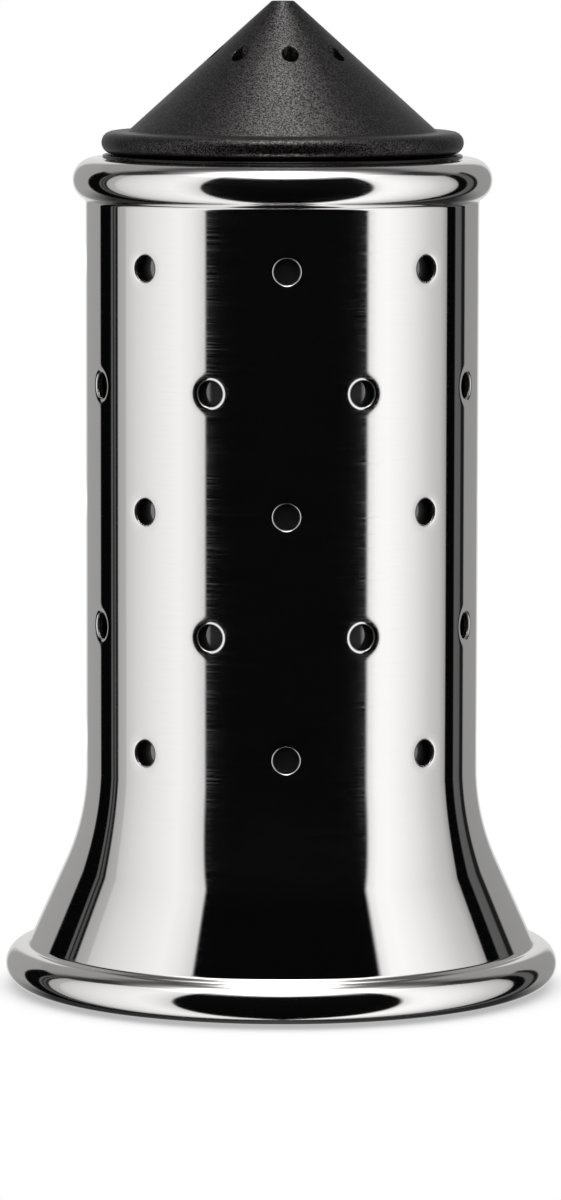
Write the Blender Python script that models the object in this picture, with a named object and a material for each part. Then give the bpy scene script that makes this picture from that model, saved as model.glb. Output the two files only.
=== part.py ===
"""Table salt shaker: a perforated steel jacket round a plastic container with a screwed sprinkler cap.

Sizes are in metres and +Z is up. The origin is the middle of the face that the shaker stands on, and the
front of the shaker faces -Y. The cap turns and rises on the Z axis.
"""

import math

import bmesh
import bpy
from mathutils import Matrix

MM = 0.001

# Jacket: one drawn tube of stainless sheet with a flared foot and a curled bead at each end
BODY_RADIUS = 25.8 * MM
BODY_HEIGHT = 109.5 * MM
SHEET = 0.8 * MM
TOP_BEAD_RADIUS = 2.86 * MM
TOP_BEAD_OVERHANG = 1.7 * MM
TOP_CURL_END = math.radians(150)
FOOT_RADIUS = 36.5 * MM
FOOT_BEAD_RADIUS = 2.64 * MM
FOOT_CURL_END = math.radians(-150)
FOOT_LIFT = 0.4 * MM
CREASE_RADIUS = 0.6 * MM
FLARE_ANGLE = math.radians(24.3)
FLARE_BEND_RADIUS = 30.5 * MM
FLARE_INSET = 0.4 * MM

# Punched holes in the jacket, each row turned half a step from the next
HOLE_DIAMETER = 3.4 * MM
HOLES_PER_ROW = 8
HOLE_ROWS = 5
TOP_ROW_DROP = 13.5 * MM
LOWEST_ROW = 33.2 * MM
HOLE_TURN = math.radians(1.3)

# Container: a cup that fills the jacket, with a threaded neck through the top curl
JACKET_GAP = 0.8 * MM
CONTAINER_WALL = 1.6 * MM
CONTAINER_FLOOR = 2.0 * MM
NECK_WALL = 1.0 * MM

# Screw thread between the cap's spigot and the container's neck
THREAD_PITCH = 3.0 * MM
THREAD_TURNS = 1.0
THREAD_DEPTH = 0.9 * MM
THREAD_LEAD = 0.5 * MM
THREAD_GAP = 0.3 * MM
FLANK_GAP = 0.5 * MM
FLANK_LEAN = 0.3 * MM

# Sprinkler cap: a cone with a flat tip, a rounded rim and a threaded spigot
CAP_INSET = 0.9 * MM
RIM_HEIGHT = 2.9 * MM
RIM_WIDTH = 3.64 * MM
CONE_HEIGHT = 17.05 * MM
TIP_RADIUS = 1.7 * MM
CAP_WALL = 2.0 * MM
SPIGOT_WALL = 1.8 * MM
SPRINKLE_DIAMETER = 2.1 * MM
SPRINKLE_COUNT = 8
SPRINKLE_CIRCLE_RADIUS = 9.3 * MM
SPRINKLE_TURN = math.radians(6.3)

# Rubber washer between the cap's rim, the container's neck and the jacket's top bead
SEAL_INSET = 0.14 * MM
SEAL_THICKNESS = 0.5 * MM

# Base: a cover in the foot's opening, one screw into the container and a rubber ring to stand on
COVER_LIFT = 1.0 * MM
GROOVE_DEPTH = 1.0 * MM
GROOVE_ROOF = 1.2 * MM
HUB_RADIUS = 7.0 * MM
HUB_WEB = 2.8 * MM
FOOT_RING_INSET = 2.5 * MM
FOOT_RING_WIDTH = 3.6 * MM
FOOT_RING_EDGE = 0.4 * MM
SCREW_HEAD_RADIUS = 2.8 * MM
SCREW_HEAD_HEIGHT = 1.9 * MM
SCREW_SHANK_RADIUS = 1.5 * MM
SCREW_LENGTH = 8.0 * MM
SCREW_COVER = 0.8 * MM
SCREW_SOCKET_RADIUS = 1.15 * MM
SCREW_SOCKET_DEPTH = 1.1 * MM
BOSS_WALL = 2.75 * MM

# Clearances between pieces that seat on each other and between pieces that slide past each other
SEAT_GAP = 0.12 * MM
SLIDE_GAP = 0.25 * MM

# Facets round the turned pieces and the holes, and along the arcs of the profiles
SEGMENTS = 40
SCREW_SEGMENTS = 20
HOLE_SIDES = 10
SOCKET_SIDES = 6
BEAD_STEPS = 9
CREASE_STEPS = 2
BEND_STEPS = 4
RIM_STEPS = 6

# How far a cutter reaches past what it cuts, and how near to each other points count as one
OVERCUT = 2.0 * MM
SAME_POINT = 0.001 * MM

# Places that follow from the sizes above, as (radius, height) or as one of them
TOP_BEAD_CENTRE = (BODY_RADIUS + TOP_BEAD_OVERHANG - TOP_BEAD_RADIUS, BODY_HEIGHT - TOP_BEAD_RADIUS)
FOOT_BEAD_CENTRE = (FOOT_RADIUS - FOOT_BEAD_RADIUS, FOOT_LIFT + FOOT_BEAD_RADIUS)
MOUTH_RADIUS = TOP_BEAD_CENTRE[0] + TOP_BEAD_RADIUS * math.cos(min(TOP_CURL_END, math.pi))
FOOT_OPENING_RADIUS = FOOT_BEAD_CENTRE[0] + FOOT_BEAD_RADIUS * math.cos(max(FOOT_CURL_END, -math.pi))
ROW_PITCH = (BODY_HEIGHT - TOP_ROW_DROP - LOWEST_ROW) / (HOLE_ROWS - 1)

CAP_RADIUS = TOP_BEAD_CENTRE[0] - CAP_INSET
SEAL_RADIUS = CAP_RADIUS - SEAL_INSET
SEAL_SEAT = TOP_BEAD_CENTRE[1] + math.sqrt(TOP_BEAD_RADIUS**2 - (TOP_BEAD_CENTRE[0] - SEAL_RADIUS) ** 2)
SEAL_BOTTOM = SEAL_SEAT + SEAT_GAP
SEAL_TOP = SEAL_BOTTOM + SEAL_THICKNESS
RIM_BOTTOM = SEAL_TOP + SEAT_GAP
RIM_TOP = RIM_BOTTOM + RIM_HEIGHT
CONE_RADIUS = CAP_RADIUS - RIM_WIDTH
OVERALL_HEIGHT = RIM_TOP + CONE_HEIGHT

CONTAINER_RADIUS = BODY_RADIUS - SHEET - JACKET_GAP
CURL_END_DEPTH = SHEET if TOP_CURL_END < math.pi else 0
CURL_UNDERSIDE = TOP_BEAD_CENTRE[1] + (TOP_BEAD_RADIUS - CURL_END_DEPTH) * math.sin(TOP_CURL_END)
SHOULDER_HEIGHT = CURL_UNDERSIDE - SEAT_GAP
NECK_RADIUS = MOUTH_RADIUS - SLIDE_GAP
NECK_TOP = SEAL_BOTTOM - SEAT_GAP

THREAD_BORE_RADIUS = NECK_RADIUS - NECK_WALL
SPIGOT_RADIUS = THREAD_BORE_RADIUS - THREAD_DEPTH - THREAD_GAP
SPIGOT_BORE_RADIUS = SPIGOT_RADIUS - SPIGOT_WALL
RIDGE_ROOT_WIDTH = THREAD_PITCH / 2 - FLANK_GAP + FLANK_LEAN
RIDGE_CREST_WIDTH = THREAD_PITCH / 2 - FLANK_GAP - FLANK_LEAN
NECK_THREAD_START = NECK_TOP - THREAD_LEAD - RIDGE_ROOT_WIDTH / 2 - THREAD_TURNS * THREAD_PITCH
SPIGOT_THREAD_START = NECK_THREAD_START - THREAD_PITCH / 2
SPIGOT_BOTTOM = SPIGOT_THREAD_START - RIDGE_ROOT_WIDTH / 2 - THREAD_LEAD
NECK_BOTTOM = SPIGOT_BOTTOM - THREAD_LEAD

COVER_RADIUS = FOOT_OPENING_RADIUS - SLIDE_GAP
GROOVE_TOP = COVER_LIFT + GROOVE_DEPTH
COVER_TOP = GROOVE_TOP + GROOVE_ROOF
FOOT_RING_OUTSIDE = COVER_RADIUS - FOOT_RING_INSET
FOOT_RING_INSIDE = FOOT_RING_OUTSIDE - FOOT_RING_WIDTH
SCREW_HEAD_BOTTOM = COVER_LIFT + SEAT_GAP
SCREW_SEAT = SCREW_HEAD_BOTTOM + SCREW_HEAD_HEIGHT
SCREW_RECESS_TOP = SCREW_SEAT + SEAT_GAP
SCREW_RECESS_RADIUS = SCREW_HEAD_RADIUS + SLIDE_GAP
SCREW_HOLE_RADIUS = SCREW_SHANK_RADIUS + SLIDE_GAP
SCREW_TIP = SCREW_SEAT + SCREW_LENGTH
HUB_TOP = max(COVER_TOP, SCREW_RECESS_TOP) + HUB_WEB
BOSS_BOTTOM = HUB_TOP + SEAT_GAP
BOSS_RADIUS = SCREW_HOLE_RADIUS + BOSS_WALL
SCREW_HOLE_TOP = max(SCREW_TIP, BOSS_BOTTOM) + SEAT_GAP
CONTAINER_FLOOR_HEIGHT = SCREW_HOLE_TOP + SCREW_COVER


def clear_scene():
    for obj in list(bpy.data.objects):
        bpy.data.objects.remove(obj, do_unlink=True)


def material(name, colour, roughness, metallic=0.0):
    """A plain Principled material."""
    made = bpy.data.materials.new(name)
    made.use_nodes = True
    shader = made.node_tree.nodes["Principled BSDF"]
    shader.inputs["Base Color"].default_value = (*colour, 1.0)
    shader.inputs["Roughness"].default_value = roughness
    shader.inputs["Metallic"].default_value = metallic
    return made


def arc(centre, radius, start, end, steps):
    """Points (radius, height) along an arc, both ends included."""
    points = []
    for step in range(steps + 1):
        angle = start + (end - start) * step / steps
        points.append((centre[0] + radius * math.cos(angle), centre[1] + radius * math.sin(angle)))
    return points


def add_object(name, bm, finish=None):
    """Turns a bmesh into a linked object with outward faces and smooth round stretches."""
    bmesh.ops.recalc_face_normals(bm, faces=bm.faces)
    mesh = bpy.data.meshes.new(name)
    bm.to_mesh(mesh)
    bm.free()
    mesh.shade_smooth()
    mesh.set_sharp_from_angle(angle=math.radians(30))
    obj = bpy.data.objects.new(name, mesh)
    bpy.context.scene.collection.objects.link(obj)
    if finish:
        mesh.materials.append(finish)
    return obj


def turned(name, profile, finish, segments=SEGMENTS):
    """Spins a closed profile of (radius, height) points round the Z axis."""
    bm = bmesh.new()
    rim = [bm.verts.new((radius, 0.0, height)) for radius, height in profile]
    edges = []
    for last, point in zip(rim[-1:] + rim[:-1], rim):
        if max(last.co.x, point.co.x) > 0:
            edges.append(bm.edges.new((last, point)))
    bmesh.ops.spin(
        bm,
        geom=rim + edges,
        cent=(0, 0, 0),
        axis=(0, 0, 1),
        angle=math.tau,
        steps=segments,
        use_merge=True,
    )
    bmesh.ops.remove_doubles(bm, verts=bm.verts, dist=SAME_POINT)
    return add_object(name, bm, finish)


def helper(obj):
    """Marks a cutter or another helper, which isn't a piece of the shaker."""
    obj.hide_render = True
    obj.display_type = "WIRE"
    return obj


def combine(obj, other, operation):
    boolean = obj.modifiers.new(other.name, "BOOLEAN")
    boolean.operation = operation
    boolean.solver = "EXACT"
    boolean.object = helper(other)


def cylinder(bm, radius, low, high, matrix, sides):
    """Adds a closed cylinder along the matrix's Z axis, from low to high."""
    bmesh.ops.create_cone(
        bm,
        cap_ends=True,
        segments=sides,
        radius1=radius,
        radius2=radius,
        depth=high - low,
        matrix=matrix @ Matrix.Translation((0, 0, (low + high) / 2)),
    )


def thread_ridge(name, root_radius, crest_radius, start_height):
    """A right-hand helical ridge of trapezoid section, its root sunk into the wall that carries it."""
    sink = math.copysign(THREAD_GAP, root_radius - crest_radius)
    slope = (RIDGE_ROOT_WIDTH - RIDGE_CREST_WIDTH) / 2 / abs(crest_radius - root_radius)
    sunk_half = RIDGE_ROOT_WIDTH / 2 + slope * abs(sink)
    crest_half = RIDGE_CREST_WIDTH / 2
    section = [
        (root_radius + sink, -sunk_half),
        (crest_radius, -crest_half),
        (crest_radius, crest_half),
        (root_radius + sink, sunk_half),
    ]
    bm = bmesh.new()
    steps = round(THREAD_TURNS * SEGMENTS)
    rings = []
    for step in range(steps + 1):
        angle = math.tau * step / SEGMENTS
        climb = start_height + THREAD_PITCH * step / SEGMENTS
        rings.append(
            [
                bm.verts.new((radius * math.cos(angle), radius * math.sin(angle), climb + offset))
                for radius, offset in section
            ]
        )
    for low, high in zip(rings, rings[1:]):
        for side in range(len(section)):
            bm.faces.new((low[side - 1], low[side], high[side], high[side - 1]))
    bm.faces.new(rings[0])
    bm.faces.new(rings[-1])
    return add_object(name, bm)


def jacket_arcs():
    """The jacket's outer line from the top curl's end to the foot curl's end.

    Each arc is (centre, radius, start, end, steps, side). side is -1 where the sheet lies towards the centre
    and +1 where it lies away from it.
    """
    top, foot = TOP_BEAD_CENTRE, FOOT_BEAD_CENTRE

    # Crease between the top bead and the straight wall
    reach = TOP_BEAD_RADIUS + CREASE_RADIUS
    across = BODY_RADIUS + CREASE_RADIUS - top[0]
    drop = math.sqrt(reach**2 - across**2)
    top_crease = (BODY_RADIUS + CREASE_RADIUS, top[1] - drop)
    top_crease_angle = math.atan2(-drop, across)

    # The flare's straight line runs to a point just inside the crest of the foot bead
    meet = (foot[0] - FLARE_INSET, foot[1] + FOOT_BEAD_RADIUS)
    corner_height = meet[1] + (meet[0] - BODY_RADIUS) / math.tan(FLARE_ANGLE)
    line_length = (meet[0] - BODY_RADIUS) / math.sin(FLARE_ANGLE) - CREASE_RADIUS
    bend_radius = min(FLARE_BEND_RADIUS, line_length / math.tan(FLARE_ANGLE / 2))
    bend = (BODY_RADIUS + bend_radius, corner_height + bend_radius * math.tan(FLARE_ANGLE / 2))

    # Crease between the flare and the foot bead
    out = (math.cos(FLARE_ANGLE), math.sin(FLARE_ANGLE))
    down = (math.sin(FLARE_ANGLE), -math.cos(FLARE_ANGLE))
    line = (meet[0] + CREASE_RADIUS * out[0], meet[1] + CREASE_RADIUS * out[1])
    gap = (line[0] - foot[0], line[1] - foot[1])
    along = down[0] * gap[0] + down[1] * gap[1]
    reach = FOOT_BEAD_RADIUS + CREASE_RADIUS
    step_back = -along - math.sqrt(along**2 - (gap[0] ** 2 + gap[1] ** 2) + reach**2)
    foot_crease = (line[0] + step_back * down[0], line[1] + step_back * down[1])
    foot_crease_angle = math.atan2(foot_crease[1] - foot[1], foot_crease[0] - foot[0])
    crease_turn = (math.pi + FLARE_ANGLE, math.pi + foot_crease_angle)

    return [
        (top, TOP_BEAD_RADIUS, TOP_CURL_END, top_crease_angle, BEAD_STEPS, -1),
        (top_crease, CREASE_RADIUS, math.pi + top_crease_angle, math.pi, CREASE_STEPS, 1),
        (bend, bend_radius, math.pi, math.pi + FLARE_ANGLE, BEND_STEPS, 1),
        (foot_crease, CREASE_RADIUS, *crease_turn, CREASE_STEPS, 1),
        (foot, FOOT_BEAD_RADIUS, foot_crease_angle, FOOT_CURL_END, BEAD_STEPS, -1),
    ]


def make_steel_body(finish):
    outer, inner = [], []
    for centre, radius, start, end, steps, side in jacket_arcs():
        outer += arc(centre, radius, start, end, steps)
        inner += arc(centre, radius + side * SHEET, start, end, steps)
    body = turned("steel_body", outer + inner[::-1], finish)

    bm = bmesh.new()
    step = math.tau / HOLES_PER_ROW
    reach = FOOT_RADIUS + OVERCUT
    for row in range(HOLE_ROWS):
        height = LOWEST_ROW + row * ROW_PITCH
        for count in range(HOLES_PER_ROW):
            turn = HOLE_TURN - math.pi / 2 + step * (count + 0.5 * (row % 2))
            place = Matrix.Translation((0, 0, height)) @ Matrix.Rotation(turn, 4, "Z")
            outwards = place @ Matrix.Rotation(math.pi / 2, 4, "Y")
            cylinder(bm, HOLE_DIAMETER / 2, CONTAINER_RADIUS - OVERCUT, reach, outwards, HOLE_SIDES)
    combine(body, add_object("jacket_holes", bm), "DIFFERENCE")
    return body


def make_salt_container(finish):
    inside = CONTAINER_RADIUS - CONTAINER_WALL
    floor_top = CONTAINER_FLOOR_HEIGHT + CONTAINER_FLOOR
    profile = [
        (0, floor_top),
        (inside, floor_top),
        (inside, NECK_BOTTOM - abs(inside - THREAD_BORE_RADIUS)),
        (THREAD_BORE_RADIUS, NECK_BOTTOM),
        (THREAD_BORE_RADIUS, NECK_TOP),
        (NECK_RADIUS, NECK_TOP),
        (NECK_RADIUS, SHOULDER_HEIGHT),
        (CONTAINER_RADIUS, SHOULDER_HEIGHT),
        (CONTAINER_RADIUS, floor_top),
        (inside, CONTAINER_FLOOR_HEIGHT),
        (BOSS_RADIUS, CONTAINER_FLOOR_HEIGHT),
        (BOSS_RADIUS, BOSS_BOTTOM),
        (SCREW_HOLE_RADIUS, BOSS_BOTTOM),
        (SCREW_HOLE_RADIUS, SCREW_HOLE_TOP),
        (0, SCREW_HOLE_TOP),
    ]
    container = turned("salt_container", profile, finish)
    crest = THREAD_BORE_RADIUS - THREAD_DEPTH
    combine(container, thread_ridge("neck_thread", THREAD_BORE_RADIUS, crest, NECK_THREAD_START), "UNION")
    return container


def make_sprinkler_cap(finish):
    slope = (CONE_RADIUS - TIP_RADIUS) / (OVERALL_HEIGHT - RIM_TOP)
    sideways = CAP_WALL * math.sqrt(1 + slope**2)
    hollow_foot = OVERALL_HEIGHT - (SPIGOT_BORE_RADIUS + sideways - TIP_RADIUS) / slope
    hollow_top = OVERALL_HEIGHT - sideways / slope
    rim_radius = RIM_HEIGHT / 2
    rim_centre = (CAP_RADIUS - rim_radius, RIM_BOTTOM + rim_radius)
    profile = [
        (0, OVERALL_HEIGHT),
        (TIP_RADIUS, OVERALL_HEIGHT),
        (CONE_RADIUS, RIM_TOP),
        *arc(rim_centre, rim_radius, math.pi / 2, -math.pi / 2, RIM_STEPS),
        (SPIGOT_RADIUS, RIM_BOTTOM),
        (SPIGOT_RADIUS, SPIGOT_BOTTOM),
        (SPIGOT_BORE_RADIUS, SPIGOT_BOTTOM),
        (SPIGOT_BORE_RADIUS, hollow_foot),
        (TIP_RADIUS, hollow_top),
        (0, hollow_top),
    ]
    cap = turned("sprinkler_cap", profile, finish)

    bm = bmesh.new()
    for count in range(SPRINKLE_COUNT):
        turn = SPRINKLE_TURN - math.pi / 2 + math.tau * count / SPRINKLE_COUNT
        place = Matrix.Rotation(turn, 4, "Z") @ Matrix.Translation((SPRINKLE_CIRCLE_RADIUS, 0, 0))
        cylinder(bm, SPRINKLE_DIAMETER / 2, RIM_BOTTOM, OVERALL_HEIGHT + OVERCUT, place, HOLE_SIDES)
    combine(cap, add_object("sprinkle_holes", bm), "DIFFERENCE")

    crest = SPIGOT_RADIUS + THREAD_DEPTH
    combine(cap, thread_ridge("spigot_thread", SPIGOT_RADIUS, crest, SPIGOT_THREAD_START), "UNION")
    return cap


def make_cap_seal(finish):
    inside = SPIGOT_RADIUS + SLIDE_GAP
    profile = [(inside, SEAL_TOP), (SEAL_RADIUS, SEAL_TOP), (SEAL_RADIUS, SEAL_BOTTOM), (inside, SEAL_BOTTOM)]
    return turned("cap_seal", profile, finish)


def make_base_cover(finish):
    profile = [
        (SCREW_HOLE_RADIUS, HUB_TOP),
        (HUB_RADIUS, HUB_TOP),
        (HUB_RADIUS, COVER_TOP),
        (COVER_RADIUS, COVER_TOP),
        (COVER_RADIUS, COVER_LIFT),
        (FOOT_RING_OUTSIDE + SEAT_GAP, COVER_LIFT),
        (FOOT_RING_OUTSIDE + SEAT_GAP, GROOVE_TOP),
        (FOOT_RING_INSIDE - SEAT_GAP, GROOVE_TOP),
        (FOOT_RING_INSIDE - SEAT_GAP, COVER_LIFT),
        (SCREW_RECESS_RADIUS, COVER_LIFT),
        (SCREW_RECESS_RADIUS, SCREW_RECESS_TOP),
        (SCREW_HOLE_RADIUS, SCREW_RECESS_TOP),
    ]
    return turned("base_cover", profile, finish)


def make_foot_ring(finish):
    top = GROOVE_TOP - SEAT_GAP
    profile = [
        (FOOT_RING_INSIDE, top),
        (FOOT_RING_OUTSIDE, top),
        (FOOT_RING_OUTSIDE, FOOT_RING_EDGE),
        (FOOT_RING_OUTSIDE - FOOT_RING_EDGE, 0),
        (FOOT_RING_INSIDE + FOOT_RING_EDGE, 0),
        (FOOT_RING_INSIDE, FOOT_RING_EDGE),
    ]
    return turned("foot_ring", profile, finish)


def make_base_screw(finish):
    edge = SCREW_HEAD_HEIGHT / 4
    point = SCREW_SHANK_RADIUS / 2
    profile = [
        (0, SCREW_TIP),
        (point, SCREW_TIP),
        (SCREW_SHANK_RADIUS, SCREW_TIP - point),
        (SCREW_SHANK_RADIUS, SCREW_SEAT),
        (SCREW_HEAD_RADIUS, SCREW_SEAT),
        (SCREW_HEAD_RADIUS, SCREW_HEAD_BOTTOM + edge),
        (SCREW_HEAD_RADIUS - edge, SCREW_HEAD_BOTTOM),
        (0, SCREW_HEAD_BOTTOM),
    ]
    screw = turned("base_screw", profile, finish, SCREW_SEGMENTS)
    bm = bmesh.new()
    socket_top = SCREW_HEAD_BOTTOM + SCREW_SOCKET_DEPTH
    cylinder(bm, SCREW_SOCKET_RADIUS, SCREW_HEAD_BOTTOM - OVERCUT, socket_top, Matrix(), SOCKET_SIDES)
    combine(screw, add_object("screw_socket", bm), "DIFFERENCE")
    return screw


def main():
    clear_scene()
    steel = material("polished_steel", (0.78, 0.77, 0.75), 0.06, 1.0)
    gloss_black = material("gloss_black_plastic", (0.012, 0.012, 0.013), 0.18)
    matt_black = material("matt_black_plastic", (0.028, 0.027, 0.027), 0.55)
    base_black = material("base_black_plastic", (0.020, 0.020, 0.021), 0.45)
    seal_rubber = material("seal_rubber", (0.010, 0.010, 0.010), 0.30)
    foot_rubber = material("foot_rubber", (0.022, 0.022, 0.023), 0.75)
    screw_steel = material("screw_steel", (0.60, 0.60, 0.60), 0.30, 1.0)

    make_steel_body(steel)
    make_salt_container(gloss_black)
    make_base_cover(base_black)
    make_base_screw(screw_steel)
    make_foot_ring(foot_rubber)

    cap_axis = bpy.data.objects.new("cap_axis", None)
    bpy.context.scene.collection.objects.link(cap_axis)
    for piece in (make_sprinkler_cap(matt_black), make_cap_seal(seal_rubber)):
        piece.parent = cap_axis


main()
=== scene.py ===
"""Looks of the table salt shaker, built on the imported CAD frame.

Each piece is remade as a fine mesh with its own finish, at the sizes of its CAD node but for a few
corrections under half a millimetre. Sizes are in metres, +Z is up and the front faces -Y, as in the frame.
"""

from collections import namedtuple
from math import atan2, copysign, cos, dist, hypot, pi, sin, sqrt, tan, tau

import bpy
import numpy as np
from mathutils import Matrix, Vector


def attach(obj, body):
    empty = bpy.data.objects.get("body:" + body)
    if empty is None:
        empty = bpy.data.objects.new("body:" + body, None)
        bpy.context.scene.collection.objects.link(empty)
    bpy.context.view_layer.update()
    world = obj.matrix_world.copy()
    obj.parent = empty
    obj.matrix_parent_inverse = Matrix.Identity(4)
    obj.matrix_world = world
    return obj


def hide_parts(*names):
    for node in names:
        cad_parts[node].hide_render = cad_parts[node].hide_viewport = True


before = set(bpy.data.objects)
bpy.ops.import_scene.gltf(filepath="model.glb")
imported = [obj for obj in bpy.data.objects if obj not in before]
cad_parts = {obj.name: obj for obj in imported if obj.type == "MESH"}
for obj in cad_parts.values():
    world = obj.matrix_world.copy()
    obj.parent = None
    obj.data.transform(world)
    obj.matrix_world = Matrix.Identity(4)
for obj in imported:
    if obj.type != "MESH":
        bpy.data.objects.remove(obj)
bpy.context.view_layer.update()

MM = 0.001
DEGREE = pi / 180
UP = np.array((0, 0, 1))
FRONT = -pi / 2

# Jacket
BODY_RADIUS = 25.8 * MM
BODY_HEIGHT = 109.5 * MM
SHEET = 0.8 * MM
TOP_BEAD_RADIUS = 2.86 * MM
TOP_BEAD_CENTRE = (24.64 * MM, BODY_HEIGHT - TOP_BEAD_RADIUS)
TOP_CURL_END = 150 * DEGREE
FOOT_RADIUS = 36.5 * MM
FOOT_LIFT = 0.4 * MM
FOOT_BEAD_RADIUS = 2.64 * MM
FOOT_BEAD_CENTRE = (FOOT_RADIUS - FOOT_BEAD_RADIUS, FOOT_LIFT + FOOT_BEAD_RADIUS)
FOOT_CURL_END = -150 * DEGREE
CREASE_RADIUS = 0.6 * MM
FOOT_CREASE_RADIUS = 0.8 * MM
FLARE_ANGLE = 24.3 * DEGREE
BEND_RADIUS = 30.5 * MM
FLARE_INSET = 0.4 * MM

# Punched holes in the jacket. The punch draws the sheet in round them and rolls their outer edge in, both
# as (width, depth), and leaves a small burr radius inside
HOLE_RADIUS = 1.67 * MM
HOLE_ROLL = (0.5 * MM, 0.33 * MM)
HOLE_EDGE = HOLE_RADIUS + HOLE_ROLL[0]
HOLE_DRAW = (0.85 * MM, 0.04 * MM)
HOLE_BURR = 0.1 * MM
HOLE_ROWS = 5
HOLES_PER_ROW = 8
LOWEST_ROW = 33.2 * MM
ROW_PITCH = 15.7 * MM
HOLE_START = FRONT + 1.3 * DEGREE

# Container, a cup that stands in the jacket
CUP_RADIUS = 24.2 * MM
CUP_INSIDE = 22.6 * MM
CUP_BOTTOM = 11.94 * MM
CUP_FLOOR = 2.0 * MM
CUP_FLOOR_FILLET = 1.0 * MM
CUP_EDGE = 0.3 * MM
SHOULDER_HEIGHT = 107.55 * MM
SHOULDER_FILLET = 0.15 * MM
NECK_RADIUS = 21.9 * MM
NECK_TOP = 109.3 * MM
NECK_BOTTOM = 102.0 * MM
NECK_BORE = 20.9 * MM
BOSS_RADIUS = 4.5 * MM
BOSS_BOTTOM = 6.12 * MM
SCREW_HOLE = 1.75 * MM
SCREW_HOLE_TOP = 11.14 * MM

# Cap
OVERALL_HEIGHT = 129.99 * MM
TIP_RADIUS = 1.44 * MM
TIP_EDGE = 0.35 * MM
CONE_RADIUS = 20.3 * MM
CONE_FOOT_FILLET = 0.5 * MM
CAP_RADIUS = 23.74 * MM
RIM_BOTTOM = 110.04 * MM
RIM_HEIGHT = 2.9 * MM
RIM_TOP = RIM_BOTTOM + RIM_HEIGHT
RIM_ROUND = RIM_HEIGHT / 2 * 0.98
CAP_WALL = 2.0 * MM
CAP_EDGE = 0.25 * MM
SPIGOT_RADIUS = 19.7 * MM
SPIGOT_BORE = 17.9 * MM
SPIGOT_BOTTOM = 102.5 * MM
SPIGOT_FILLET = 0.15 * MM
SPRINKLE_RADIUS = 1.05 * MM
SPRINKLE_ROLL = (0.14 * MM, 0.16 * MM)
SPRINKLE_BURR = 0.08 * MM
SPRINKLE_COUNT = 8
SPRINKLE_CIRCLE = 8.85 * MM
SPRINKLE_START = FRONT + 6.3 * DEGREE

# The cone: its run outwards for its fall, how far its inside lies under it, and a radius low on it
CONE_SLOPE = (CONE_RADIUS - TIP_RADIUS) / (OVERALL_HEIGHT - RIM_TOP)
CONE_DROP = CAP_WALL * sqrt(1 + CONE_SLOPE**2) / CONE_SLOPE
LOWER_CONE = 0.8 * CONE_RADIUS

# Thread ridges on the cap's spigot and in the container's neck, and the stretches of wall that carry them
THREAD_PITCH = 3.0 * MM
THREAD_DEPTH = 0.9 * MM
RIDGE_ROOT = 1.3 * MM
RIDGE_CREST = 0.7 * MM
THREAD_RUN_OUT = 24 * DEGREE
NECK_THREAD_START = 105.15 * MM
NECK_WALL = (NECK_BOTTOM + 0.1 * MM, NECK_TOP - CUP_EDGE - 0.05 * MM)
SPIGOT_THREAD_START = NECK_THREAD_START - THREAD_PITCH / 2
SPIGOT_WALL = (SPIGOT_BOTTOM + CAP_EDGE, RIM_BOTTOM - 0.2 * MM)

# Seal and base
SEAL_INSIDE = 19.95 * MM
SEAL_RADIUS = 23.6 * MM
SEAL_BOTTOM = 109.43 * MM
SEAL_THICKNESS = 0.5 * MM
SEAL_EDGE = 0.18 * MM
COVER_RADIUS = 31.32 * MM
COVER_BOTTOM = 1.0 * MM
COVER_TOP = 3.2 * MM
COVER_EDGE = 0.25 * MM
GROOVE_TOP = 2.0 * MM
HUB_RADIUS = 7.0 * MM
HUB_TOP = 6.0 * MM
HUB_HOLE_EDGE = 0.15 * MM
RING_OUTSIDE = 28.82 * MM
RING_INSIDE = 25.22 * MM
RING_TOP = 1.88 * MM
RING_TOP_EDGE = 0.15 * MM
RING_FOOT_EDGE = 0.5 * MM
SEAT_GAP = 0.12 * MM
SMALL_EDGE = 0.1 * MM

# Base screw: its recess (radius, top), head (radius, bottom, seat), shank and socket (radius, top)
SCREW_RECESS = (3.05 * MM, 3.14 * MM)
SCREW_HEAD = (2.8 * MM, 1.12 * MM, 3.02 * MM)
SCREW_HEAD_EDGE = 0.5 * MM
SHANK_RADIUS = 1.5 * MM
SCREW_TIP = 11.02 * MM
SCREW_SOCKET = (1.15 * MM, 2.22 * MM)
SOCKET_EDGE = 0.08 * MM
SOCKET_SIDE = 60 * DEGREE
SOCKET_WALL = 0.9

# Fineness: columns round the axis, cells along a side of a hole's frame, steps along arcs and edges
COLUMNS = 256
PLAIN_COLUMNS = 128
SCREW_COLUMNS = 96
CELL = 12
HALF_CELL = CELL // 2
BEAD_STEPS = 44
CREASE_STEPS = 10
FOOT_CREASE_STEPS = 20
BEND_STEPS = 24
FILLET_STEPS = 5
ROLL_STEPS = 8
BURR_STEPS = 3
THREAD_ROW_PITCH = 0.16 * MM

# A hole's frame: the angles of its points, and how far in to the hole its rows are, outside and inside
FRAME_POINTS = 4 * CELL
FRAME_ANGLES = [-45 * DEGREE + tau * k / FRAME_POINTS for k in range(FRAME_POINTS)]
OUTER_SHARES = (0.3, 0.5, 0.65, 0.8, 0.9)
INNER_SHARES = (0.6, 0.3)

# What counts as no distance, as no turn and as on the axis, and the step that slopes are taken over
SAME_PLACE = 0.001 * MM
NO_TURN = 1e-6
ON_AXIS = 1e-9
SLOPE_STEP = 0.01 * MM

# Camera: the photo's height and focal length in pixels, and where the camera stands
PHOTO_HEIGHT = 1200
FOCAL_PIXELS = 6539
CAMERA_PLACE = (-0.176 * MM, -858 * MM, 145.4 * MM)
CAMERA_AIM = 51.18 * MM
CAMERA_ROLL = 0.099 * DEGREE
CAMERA_CLIP = 0.01
SENSOR = 36.0

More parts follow.
